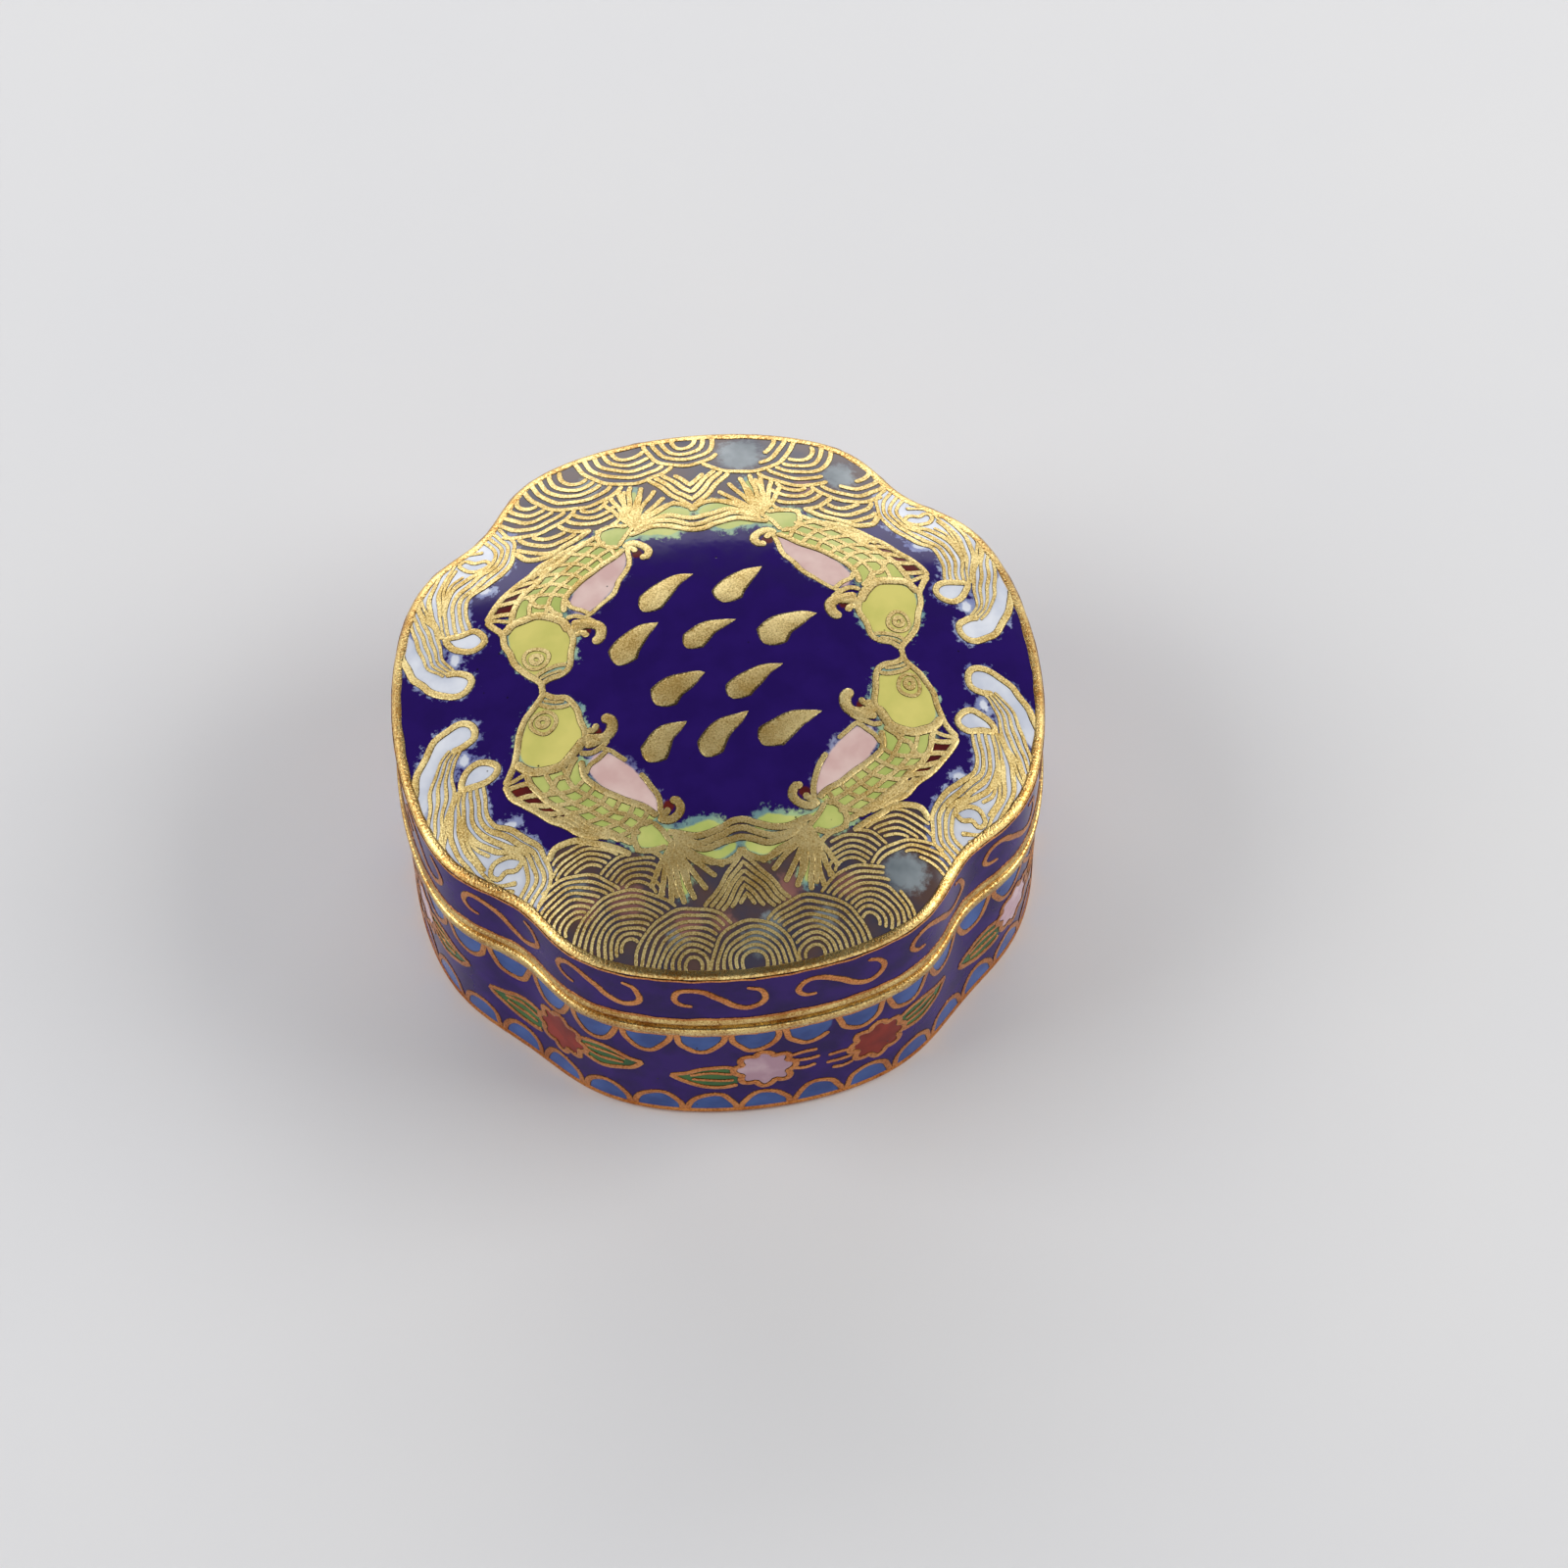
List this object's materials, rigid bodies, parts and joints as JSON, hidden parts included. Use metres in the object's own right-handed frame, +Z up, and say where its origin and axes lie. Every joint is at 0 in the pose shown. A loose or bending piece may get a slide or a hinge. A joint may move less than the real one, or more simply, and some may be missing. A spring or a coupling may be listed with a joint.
{
  "type": "enamel trinket box",
  "caption": "Small four-lobed cloisonne enamel box with a domed lid that lifts off: gilt edges, indigo ground, carp and waves on the lid, scallops and flowers on the side.",
  "frame": {"origin": "on the ground, under the middle of the closed box", "axes": "+Z up; a lobe of the plan faces each of +X, -X, +Y and -Y, and -Y is the side nearest the picture's viewer"},
  "size_m": [0.0506, 0.0506, 0.0257],
  "materials": {
    "violet_enamel": "fired vitreous enamel, ground and polished, with flush gilt wires",
    "indigo_enamel": "fired vitreous enamel, ground and polished, with flush gilt wires",
    "gilt": "gilded copper, softly polished"
  },
  "bodies": {
    "root": {"bowl": "violet_enamel", "lid": "indigo_enamel"}
  },
  "joints": []
}
